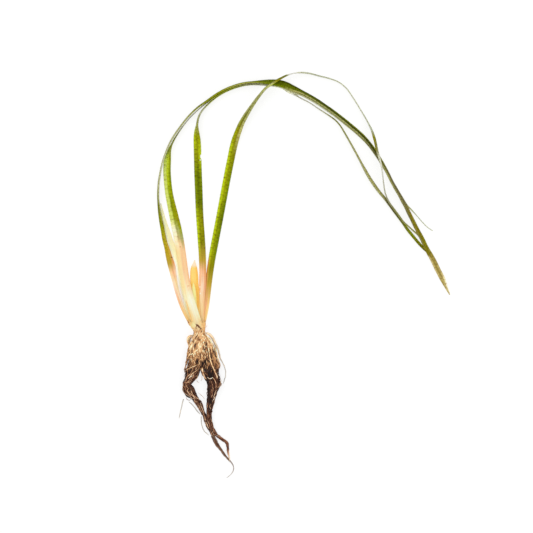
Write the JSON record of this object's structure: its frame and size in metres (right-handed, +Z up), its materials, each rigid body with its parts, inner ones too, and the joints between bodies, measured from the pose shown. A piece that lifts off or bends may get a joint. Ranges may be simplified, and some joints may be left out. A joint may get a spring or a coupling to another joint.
{
  "type": "tape grass plant",
  "caption": "Uprooted tape grass, a water plant with ribbon leaves curling over in an arch, young leaves at the base and a matted, forking tuft of roots.",
  "frame": {"origin": "on the surface that the plant lies on, under the crown where the leaves meet the roots", "axes": "+Z up from the surface, +Y from the crown towards the arch of the leaves, +X to the right seen from above, towards the leaf tips"},
  "size_m": [0.2199, 0.3048, 0.0108],
  "materials": {
    "leaf_outer_left": "satin",
    "leaf_inner_left": "satin",
    "leaf_middle": "satin",
    "leaf_right": "satin",
    "leaf_sheath": "satin",
    "young_leaf_outer": "satin",
    "young_leaf_inner": "satin",
    "crown": "matte",
    "root_tan": "matte",
    "root_dark": "matte",
    "root_pale": "matte"
  },
  "bodies": {
    "root": {"leaf_outer_left": "leaf_outer_left", "leaf_inner_left": "leaf_inner_left", "leaf_middle": "leaf_middle", "leaf_right": "leaf_right", "leaf_sheath": "leaf_sheath", "young_leaf_outer": "young_leaf_outer", "young_leaf_inner": "young_leaf_inner", "crown": "crown", "root_collar": "root_tan", "root_strand_left": "root_dark", "root_strand_right": "root_dark", "root_strand_lower": "root_dark", "root_fork_left": "root_dark", "root_fork_right": "root_pale", "root_loop_left": "root_pale", "root_arch_right": "root_pale", "root_hair_left": "root_pale", "root_hair_between": "root_pale", "root_hair_lower": "root_pale"}
  },
  "joints": []
}
